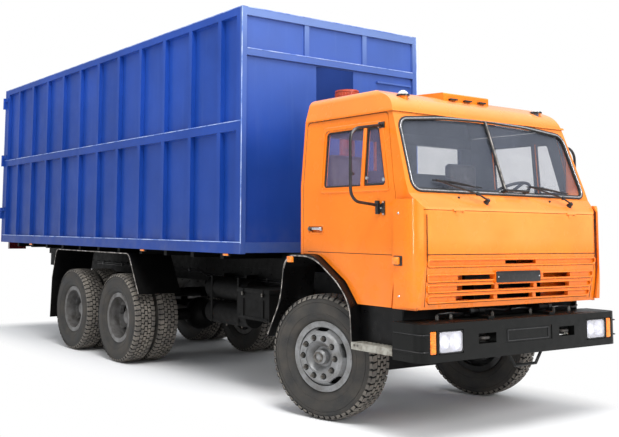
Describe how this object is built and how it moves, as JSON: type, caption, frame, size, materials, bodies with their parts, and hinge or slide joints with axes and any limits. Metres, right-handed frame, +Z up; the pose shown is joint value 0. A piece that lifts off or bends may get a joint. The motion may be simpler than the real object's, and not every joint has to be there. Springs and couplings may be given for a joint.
{
  "type": "cab-over truck with a high ribbed load body",
  "caption": "Cab-over truck with a tall ribbed open steel load body, twin driven wheels on a tandem bogie, steered front wheels, tilting cab, doors and rear gates.",
  "frame": {"origin": "on the ground under the middle of the whole truck", "axes": "+X forward, +Y to the truck's left, +Z up"},
  "size_m": [9.166, 2.962, 3.857],
  "materials": {
    "body_blue": "satin",
    "bumper_dark": "satin",
    "cab_orange": "gloss",
    "cab_plastic": "matte",
    "chassis_black": "satin",
    "engine_iron": "matte",
    "floor_steel": "worn",
    "glass": "clear",
    "intake_paint": "gloss",
    "lamp_lens": "gloss",
    "seat_cover": "matte",
    "tyre": "matte",
    "wheel_grey": "satin"
  },
  "bodies": {
    "chassis": {"air_intake": "intake_paint", "air_tanks": "chassis_black", "battery_box": "chassis_black", "body_subframe": "chassis_black", "bumper": "bumper_dark", "engine_block": "engine_iron", "front_axle_beam": "chassis_black", "front_lamps": "lamp_lens", "front_springs": "chassis_black", "front_wall": "body_blue", "fuel_tank": "chassis_black", "gearbox": "engine_iron", "ladder_frame": "chassis_black", "load_floor": "floor_steel", "mid_axle": "chassis_black", "prop_shafts": "chassis_black", "radiator": "engine_iron", "rear_axle": "chassis_black", "rear_guards": "chassis_black", "rear_springs": "chassis_black", "side_wall_left": "body_blue", "side_wall_right": "body_blue", "tail_lamps": "lamp_lens", "tilt_brackets": "chassis_black", "trunnion": "chassis_black"},
    "cab": {"cab_back_wall": "cab_orange", "cab_floor": "cab_orange", "cab_front": "cab_orange", "cab_glass": "glass", "cab_roof": "cab_orange", "dashboard": "cab_plastic", "front_fenders": "chassis_black", "seats": "seat_cover", "steering_wheel": "cab_plastic"},
    "front_lid": {"front_lid": "cab_orange"},
    "door_right": {"door_right": "cab_orange", "door_glass_right": "glass", "mirror_arm_right": "chassis_black"},
    "knuckle_right": {"knuckle_right": "chassis_black"},
    "wheel_front_right": {"tyre_front_right": "tyre", "wheel_front_right": "wheel_grey"},
    "wheels_mid_right": {"tyres_mid_right": "tyre", "wheels_mid_right": "wheel_grey"},
    "wheels_rear_right": {"tyres_rear_right": "tyre", "wheels_rear_right": "wheel_grey"},
    "gate_right": {"gate_right": "body_blue"},
    "door_left": {"door_left": "cab_orange", "door_glass_left": "glass", "mirror_arm_left": "chassis_black"},
    "knuckle_left": {"knuckle_left": "chassis_black"},
    "wheel_front_left": {"tyre_front_left": "tyre", "wheel_front_left": "wheel_grey"},
    "wheels_mid_left": {"tyres_mid_left": "tyre", "wheels_mid_left": "wheel_grey"},
    "wheels_rear_left": {"tyres_rear_left": "tyre", "wheels_rear_left": "wheel_grey"},
    "gate_left": {"gate_left": "body_blue"}
  },
  "joints": [
    {"name": "cab_tilt", "type": "hinge", "parent": "chassis", "child": "cab", "pos_m": [4.408, 0, 0.985], "axis": [0, 1, 0], "range_deg": [0, 42]},
    {"name": "front_lid_hinge", "type": "hinge", "parent": "cab", "child": "front_lid", "pos_m": [4.503, 0, 1.7855], "axis": [0, -1, 0], "range_deg": [0, 75]},
    {"name": "door_hinge_right", "type": "hinge", "parent": "cab", "child": "door_right", "pos_m": [4.2455, -1.168, 1.5], "axis": [0, 0, 1], "range_deg": [0, 65]},
    {"name": "door_hinge_left", "type": "hinge", "parent": "cab", "child": "door_left", "pos_m": [4.2455, 1.168, 1.5], "axis": [0, 0, -1], "range_deg": [0, 65]},
    {"name": "steer_right", "type": "hinge", "parent": "chassis", "child": "knuckle_right", "pos_m": [3.258, -0.87, 0.533], "axis": [0, 0, 1], "range_deg": [-48, 20]},
    {"name": "spin_front_right", "type": "hinge", "parent": "knuckle_right", "child": "wheel_front_right", "pos_m": [3.258, -0.87, 0.533], "axis": [-0.2419, 0.9703, 0], "continuous": true},
    {"name": "steer_left", "type": "hinge", "parent": "chassis", "child": "knuckle_left", "pos_m": [3.258, 0.87, 0.533], "axis": [0, 0, 1], "range_deg": [-48, 20]},
    {"name": "spin_front_left", "type": "hinge", "parent": "knuckle_left", "child": "wheel_front_left", "pos_m": [3.258, 0.87, 0.533], "axis": [-0.2419, 0.9703, 0], "continuous": true},
    {"name": "spin_mid_right", "type": "hinge", "parent": "chassis", "child": "wheels_mid_right", "pos_m": [-0.432, -0.9315, 0.533], "axis": [0, 1, 0], "continuous": true},
    {"name": "spin_mid_left", "type": "hinge", "parent": "chassis", "child": "wheels_mid_left", "pos_m": [-0.432, 0.9315, 0.533], "axis": [0, 1, 0], "continuous": true},
    {"name": "spin_rear_right", "type": "hinge", "parent": "chassis", "child": "wheels_rear_right", "pos_m": [-1.752, -0.9315, 0.533], "axis": [0, 1, 0], "continuous": true},
    {"name": "spin_rear_left", "type": "hinge", "parent": "chassis", "child": "wheels_rear_left", "pos_m": [-1.752, 0.9315, 0.533], "axis": [0, 1, 0], "continuous": true},
    {"name": "gate_hinge_right", "type": "hinge", "parent": "chassis", "child": "gate_right", "pos_m": [-4.55, -1.266, 2], "axis": [0, 0, 1], "range_deg": [0, 240]},
    {"name": "gate_hinge_left", "type": "hinge", "parent": "chassis", "child": "gate_left", "pos_m": [-4.55, 1.266, 2], "axis": [0, 0, -1], "range_deg": [0, 240]}
  ],
  "couplings": [
    {"joint": "steer_left", "follows": "steer_right", "ratio": 1}
  ]
}
